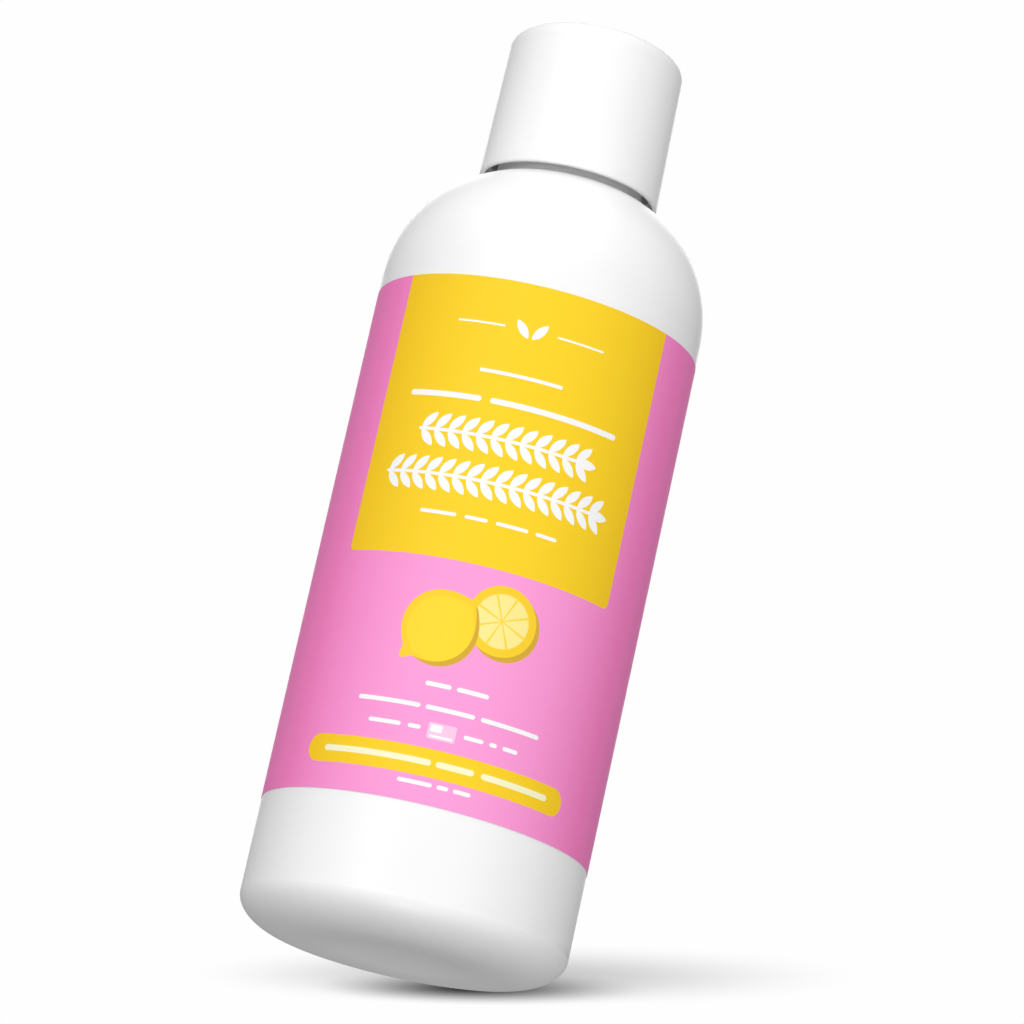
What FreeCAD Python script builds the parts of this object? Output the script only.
"""White plastic gel bottle with a wrap label and a screw-on disc-top closure.

Millimetres. The origin is the centre of the ring the bottle stands on, +Z is up, and the
front of the label faces -Y. The closure unscrews about +Z, and its round top tips about X.
"""

import FreeCAD
import Part
import math
import os

V = FreeCAD.Vector

# Driving dimensions
BODY_R = 27.4              # outside of the moulded bottle
TOTAL_H = 160.7            # standing ring to the top of the closure
WALL = 1.1                 # bottle wall
HEEL_IN = 9.7              # the heel is a quarter of an ellipse: this far across
HEEL_UP = 5.64             # and this far up
PUSH_UP_R = 15.5           # edge of the dished middle of the base
PUSH_UP_H = 1.2
PUSH_UP_BLEND_R = 30.0     # rounding between the standing ring and the dish

SHOULDER_Z = 112.6         # where the straight wall ends
SHOULDER_IN = 21.6         # semi-axis of the shoulder's ellipse across
SHOULDER_UP = 22.4         # semi-axis of the shoulder's ellipse upward

# Neck finish: the common 28-410 screw neck
NECK_R = 12.55
NECK_BORE_R = 10.4
NECK_TOP_Z = 151.3
MOUTH_EDGE_R = 0.5         # rounding of the neck's upper edge
NECK_FOOT_IN = 0.5         # the rounding at the neck's foot starts this far out from it
THREAD_R = 13.65
THREAD_PITCH = 25.4 / 6
THREAD_TURNS = 1.5
THREAD_BASE_W = 2.2
THREAD_CREST_W = 0.9
THREAD_TOP_Z = 148.8       # centre of the bottle thread's upper end
THREAD_GAP = 0.25          # radial room between the two threads
THREAD_PLAY = 0.2          # axial room on the side that carries the load
THREAD_SINK = 0.3          # how deep a thread's foot is sunk into its wall

LABEL_BOTTOM_Z = 20.8
LABEL_TOP_Z = 108.9
LABEL_R = 27.5
LABEL_SEAM = 1.2           # strip of bare bottle between the label's two ends

GEL_TOP_Z = 113.9
GEL_GAP = 0.15             # between the contents and the wall

# Closure
SKIRT_Z = 134.3            # lower edge of the closure
CAP_R_LOW = 15.4
CAP_R_TOP = 15.0
CAP_EDGE_R = 3.0           # rounding of the closure's upper edge
LIP_R = 0.3                # rounding of the closure's lower edge
LIP_BORE_R = 14.65         # wider bore just inside the lower edge, which leaves a thin lip
LIP_BORE_H = 2.4
LINER_T = 0.75
LINER_R = 13.6
LINER_HOLE_R = 9.6
LINER_GAP = 0.05
DECK_T = 1.4
WELL_R = 12.6              # the round well that the tipping disc sits in

# Tipping disc
DISC_GAP = 0.25
DISC_T = 1.4
DISC_DROP = 0.15           # how far the disc's face sits below the closure's rim
DISC_EDGE_R = 0.3
TILT_DEG = 20.0
AXIS_Y = 3.0               # the disc tips about an axis behind the middle
AXIS_Z = 156.8
DRUM_R = 4.0               # round valve under the disc
DRUM_HALF = 4.5
DRUM_FIT = 0.05
END_GAP = 0.1              # at the ends of the drum and of the stub axles
SPOUT_R = 2.4
SPOUT_BORE_R = 1.5
PORT_W = 1.0               # slot that the contents come through
PORT_L = 5.0
EAR_T = 1.9
EAR_R = 1.7
STUB_R = 1.0               # stub axles on the disc's ears
STUB_FIT = 0.06
STUB_REACH = 13.0
WEB_SINK = 0.2             # how deep the ears' webs are sunk into the plate
SEAT_MARGIN = 0.6          # seat wall before and behind the drum
SEAT_HALF = 5.6            # block in the deck that holds the drum
SEAT_BOTTOM_Z = 151.9
SEAT_TOP_Z = 154.2
DIMPLE_R = 26.0            # finger dish at the back of the disc
DIMPLE_Y = 6.6
DIMPLE_DEPTH = 0.5

DECK_Z = NECK_TOP_Z + LINER_GAP + LINER_T
DECK_TOP_Z = DECK_Z + DECK_T
DISC_R = WELL_R - DISC_GAP
DISC_TOP_Z = TOTAL_H - DISC_DROP
Z_AXIS = V(0, 0, 1)
BEYOND = 5.0               # how far a cutting block reaches past what it cuts


class Outline:
    """A closed outline in the XZ plane, turned about Z into a solid."""

    def __init__(self, x, z):
        self.first = V(x, 0, z)
        self.last = self.first
        self.edges = []

    def line(self, x, z):
        end = V(x, 0, z)
        self.edges.append(Part.LineSegment(self.last, end).toShape())
        self.last = end

    def arc(self, middle, end):
        """An arc through middle to end, both as (x, z)."""
        through = V(middle[0], 0, middle[1])
        stop = V(end[0], 0, end[1])
        self.edges.append(Part.Arc(self.last, through, stop).toShape())
        self.last = stop

    def corner(self, centre, radius, start_deg, end_deg):
        """A round corner about centre, from one direction to another."""
        middle_deg = (start_deg + end_deg) / 2
        self.arc(on_circle(centre, radius, middle_deg), on_circle(centre, radius, end_deg))

    def ellipse(self, ellipse, end):
        """The stretch of an ellipse from here to end."""
        start_at = ellipse.parameter(self.last)
        end_at = ellipse.parameter(end)
        edge = Part.Edge(ellipse, min(start_at, end_at), max(start_at, end_at))
        self.edges.append(edge)
        self.last = end

    def turned(self):
        if self.last.distanceToPoint(self.first) > 1e-6:
            self.line(self.first.x, self.first.z)
        wire = Part.Wire(Part.__sortEdges__(self.edges))
        return Part.Face(wire).revolve(V(0, 0, 0), Z_AXIS, 360)


def on_circle(centre, radius, deg):
    angle = math.radians(deg)
    return (centre[0] + radius * math.cos(angle), centre[1] + radius * math.sin(angle))


def tube(outer_r, inner_r, low_z, high_z):
    height = high_z - low_z
    outside = Part.makeCylinder(outer_r, height, V(0, 0, low_z))
    return outside.cut(Part.makeCylinder(inner_r, height, V(0, 0, low_z)))


def bar(radius, start, end):
    """A round bar between two points."""
    along = end.sub(start)
    return Part.makeCylinder(radius, along.Length, start, along)


def block(low, high):
    size = V(*high).sub(V(*low))
    return Part.makeBox(size.x, size.y, size.z, V(*low))


def shoulder_curve(inset):
    """The shoulder's ellipse, moved inward by a wall thickness."""
    centre = V(BODY_R - SHOULDER_IN, 0, SHOULDER_Z)
    across = V(SHOULDER_IN - inset, 0, 0)
    upward = V(0, 0, SHOULDER_UP - inset)
    return Part.Ellipse(centre.add(upward), centre.add(across), centre)


def shoulder_point(inset, radius):
    """Where that ellipse reaches a radius."""
    share = (radius - (BODY_R - SHOULDER_IN)) / (SHOULDER_IN - inset)
    return V(radius, 0, SHOULDER_Z + (SHOULDER_UP - inset) * math.sqrt(1 - share ** 2))


def start_at_base(inset):
    """An outline from the axis along the dished base and up the heel, moved inward."""
    heel_centre = V(BODY_R - HEEL_IN, 0, HEEL_UP)
    across = V(HEEL_IN - inset, 0, 0)
    downward = V(0, 0, inset - HEEL_UP)
    lean = 2 * math.atan(PUSH_UP_H / PUSH_UP_R)
    dish_r = PUSH_UP_R / math.sin(lean) - PUSH_UP_BLEND_R + inset
    blend_r = PUSH_UP_BLEND_R - inset
    top_z = PUSH_UP_H + inset
    lean_deg = math.degrees(lean)
    form = Outline(0, top_z)
    form.corner((0, top_z - dish_r), dish_r, 90, 90 - lean_deg)
    form.corner((PUSH_UP_R, PUSH_UP_BLEND_R), blend_r, 270 - lean_deg, 270)
    form.line(heel_centre.x, inset)
    heel = Part.Ellipse(heel_centre.add(across), heel_centre.add(downward), heel_centre)
    form.ellipse(heel, heel_centre.add(across))
    return form


def helical_ridge(root_r, crest_r, centre_z, turns, base_w, crest_w):
    """A screw thread's ridge, from centre_z downward. Its foot is sunk into the wall."""
    overlap = math.copysign(THREAD_SINK, root_r - crest_r)
    slope = (base_w - crest_w) / 2 / abs(crest_r - root_r)
    half_root = base_w / 2 + slope * abs(overlap)
    low_z = centre_z - THREAD_PITCH * turns
    helix = Part.makeHelix(THREAD_PITCH, THREAD_PITCH * turns, root_r)
    helix.translate(V(0, 0, low_z))
    corners = [
        V(root_r + overlap, 0, low_z - half_root),
        V(crest_r, 0, low_z - crest_w / 2),
        V(crest_r, 0, low_z + crest_w / 2),
        V(root_r + overlap, 0, low_z + half_root),
    ]
    profile = Part.makePolygon(corners + corners[:1])
    return Part.Wire(helix.Edges).makePipeShell([profile], True, True)


def make_bottle():
    """The blow-moulded bottle, with its open neck and screw thread."""
    foot = shoulder_point(0, NECK_R + NECK_FOOT_IN)
    lean = math.atan2(
        (foot.x - (BODY_R - SHOULDER_IN)) / SHOULDER_IN ** 2,
        (foot.z - SHOULDER_Z) / SHOULDER_UP ** 2,
    )
    foot_r = NECK_FOOT_IN / (1 - math.sin(lean))
    foot_centre = (NECK_R + foot_r, foot.z + foot_r * math.cos(lean))
    mouth_edge_z = NECK_TOP_Z - MOUTH_EDGE_R
    outside = start_at_base(0)
    outside.line(BODY_R, SHOULDER_Z)
    outside.ellipse(shoulder_curve(0), foot)
    outside.corner(foot_centre, foot_r, 270 - math.degrees(lean), 180)
    outside.line(NECK_R, mouth_edge_z)
    outside.corner((NECK_R - MOUTH_EDGE_R, mouth_edge_z), MOUTH_EDGE_R, 0, 90)
    outside.line(0, NECK_TOP_Z)
    ridge = helical_ridge(
        NECK_R, THREAD_R, THREAD_TOP_Z, THREAD_TURNS, THREAD_BASE_W, THREAD_CREST_W
    )
    bottle = outside.turned().fuse(ridge)
    return bottle.cut(cavity(WALL, NECK_TOP_Z))


def cavity(inset, top_z):
    """The space inside the bottle, up to top_z, which is above the straight wall."""
    neck_foot = shoulder_point(inset, NECK_BORE_R + WALL - inset)
    inside = start_at_base(inset)
    inside.line(BODY_R - inset, SHOULDER_Z)
    if top_z < neck_foot.z:
        level = (top_z - SHOULDER_Z) / (SHOULDER_UP - inset)
        level_x = BODY_R - SHOULDER_IN + (SHOULDER_IN - inset) * math.sqrt(1 - level ** 2)
        inside.ellipse(shoulder_curve(inset), V(level_x, 0, top_z))
    else:
        inside.ellipse(shoulder_curve(inset), neck_foot)
        inside.line(neck_foot.x, top_z)
    inside.line(0, top_z)
    return inside.turned()


def make_gel():
    """The contents, up to the filling level just above the shoulder's start."""
    return cavity(WALL + GEL_GAP, GEL_TOP_Z)


def make_label():
    """The printed film, wrapped round with its two ends almost meeting at the back."""
    film = tube(LABEL_R, BODY_R, LABEL_BOTTOM_Z, LABEL_TOP_Z)
    seam = block((-LABEL_SEAM / 2, 0, LABEL_BOTTOM_Z), (LABEL_SEAM / 2, LABEL_R, LABEL_TOP_Z))
    return film.cut(seam)


def make_liner():
    """The ring gasket between the closure's deck and the neck."""
    return tube(LINER_R, LINER_HOLE_R, DECK_Z - LINER_T, DECK_Z)


def closure_outside():
    """The closure's outer form: a slightly tapered, smooth drum."""
    edge = CAP_EDGE_R
    form = Outline(0, SKIRT_Z)
    form.line(CAP_R_LOW - LIP_R, SKIRT_Z)
    form.corner((CAP_R_LOW - LIP_R, SKIRT_Z + LIP_R), LIP_R, -90, 0)
    form.line(CAP_R_TOP, TOTAL_H - edge)
    form.corner((CAP_R_TOP - edge, TOTAL_H - edge), edge, 0, 90)
    form.line(0, TOTAL_H)
    return form.turned()


def make_shell():
    """The threaded closure, with its deck, valve seat and well for the disc."""
    skirt_r = THREAD_R + THREAD_GAP
    shell = closure_outside()
    shell = shell.cut(Part.makeCylinder(skirt_r, DECK_Z - SKIRT_Z, V(0, 0, SKIRT_Z)))
    shell = shell.cut(Part.makeCylinder(LIP_BORE_R, LIP_BORE_H, V(0, 0, SKIRT_Z)))
    shell = shell.cut(Part.makeCylinder(WELL_R, TOTAL_H, V(0, 0, DECK_TOP_Z)))
    play = THREAD_PLAY + (THREAD_BASE_W + THREAD_CREST_W) / 2
    ridge = helical_ridge(
        skirt_r, NECK_R + THREAD_GAP, THREAD_TOP_Z - play, THREAD_TURNS,
        THREAD_BASE_W, THREAD_CREST_W
    )
    seat_depth = DRUM_R + SEAT_MARGIN
    seat = block(
        (-SEAT_HALF, AXIS_Y - seat_depth, SEAT_BOTTOM_Z),
        (SEAT_HALF, AXIS_Y + seat_depth, SEAT_TOP_Z)
    )
    port = block(
        (-PORT_L / 2, AXIS_Y - PORT_W / 2, SEAT_BOTTOM_Z - BEYOND),
        (PORT_L / 2, AXIS_Y + PORT_W / 2, AXIS_Z)
    )
    shell = shell.fuse(ridge).fuse(seat).cut(port)
    shell = shell.cut(along_tilt_axis(DRUM_R + DRUM_FIT, DRUM_HALF + END_GAP))
    return shell.cut(along_tilt_axis(STUB_R + STUB_FIT, STUB_REACH + END_GAP))


def along_tilt_axis(radius, half_length):
    """A round bar along the axis that the disc tips about, middle on the closure's."""
    return bar(radius, V(-half_length, AXIS_Y, AXIS_Z), V(half_length, AXIS_Y, AXIS_Z))


def tipped(shape, deg):
    """A copy of a shape, tipped with the disc."""
    copy = shape.copy()
    copy.rotate(V(0, AXIS_Y, AXIS_Z), V(-1, 0, 0), deg)
    return copy


def disc_plate():
    """The disc's round face, with its finger dish."""
    bottom_z = DISC_TOP_Z - DISC_T
    edge = DISC_EDGE_R
    form = Outline(0, bottom_z)
    form.line(DISC_R, bottom_z)
    form.line(DISC_R, DISC_TOP_Z - edge)
    form.corner((DISC_R - edge, DISC_TOP_Z - edge), edge, 0, 90)
    form.line(0, DISC_TOP_Z)
    dimple = Part.makeSphere(DIMPLE_R, V(0, DIMPLE_Y, DISC_TOP_Z + DIMPLE_R - DIMPLE_DEPTH))
    return form.turned().cut(dimple)


def disc_ear(side):
    """The ear at one end of the tilt axis, and the web that joins it to the plate."""
    web_top_z = DISC_TOP_Z - DISC_T + WEB_SINK
    low_x, high_x = sorted((side * (DISC_R - EAR_T), side * DISC_R))
    ear = bar(EAR_R, V(low_x, AXIS_Y, AXIS_Z), V(high_x, AXIS_Y, AXIS_Z))
    web = block((low_x, AXIS_Y - EAR_R, AXIS_Z), (high_x, AXIS_Y + EAR_R, web_top_z))
    return ear.fuse(web)


def make_disc():
    """The round top that tips: plate, spout, valve drum, ears and stub axles."""
    spout_line = (V(0, AXIS_Y, AXIS_Z), V(0, -DISC_R - BEYOND, AXIS_Z))
    well = Part.makeCylinder(DISC_R, TOTAL_H, V(0, 0, DECK_Z - BEYOND))
    under = along_tilt_axis(DRUM_R, DRUM_HALF).fuse(bar(SPOUT_R, *spout_line))
    for side in (-1, 1):
        under = under.fuse(disc_ear(side))
    above_z = DISC_TOP_Z - DIMPLE_DEPTH
    above = block((-BODY_R, -BODY_R, above_z), (BODY_R, BODY_R, above_z + DRUM_R))
    disc = disc_plate().fuse(under.common(well).cut(above))
    for share in (0.5, 1.0):
        disc = disc.common(tipped(well, -TILT_DEG * share))

    ear_x = DISC_R - EAR_T
    between_ears = block((-ear_x, -BODY_R, DECK_Z), (ear_x, BODY_R, TOTAL_H))
    disc = disc.fuse(along_tilt_axis(STUB_R, STUB_REACH).cut(between_ears))
    disc = disc.cut(bar(SPOUT_BORE_R, *spout_line))
    inlet = block(
        (-PORT_L / 2, AXIS_Y - PORT_W / 2, AXIS_Z - DRUM_R - BEYOND),
        (PORT_L / 2, AXIS_Y + PORT_W / 2, AXIS_Z)
    )
    return disc.cut(tipped(inlet, -TILT_DEG))


NODES = {
    "bottle": make_bottle,
    "wrap_label": make_label,
    "gel_fill": make_gel,
    "closure_liner": make_liner,
    "closure_shell": make_shell,
    "tipping_disc": make_disc,
}


def main():
    os.makedirs("parts", exist_ok=True)
    for name, make in NODES.items():
        shape = make().removeSplitter()
        box = shape.BoundBox
        print(
            f"{name}: valid {shape.isValid()} solids {len(shape.Solids)}"
            f" volume {shape.Volume:.1f} mm3"
            f" x {box.XMin:.2f}..{box.XMax:.2f} y {box.YMin:.2f}..{box.YMax:.2f}"
            f" z {box.ZMin:.2f}..{box.ZMax:.2f}"
        )
        shape.exportStep(f"parts/{name}.step")


main()
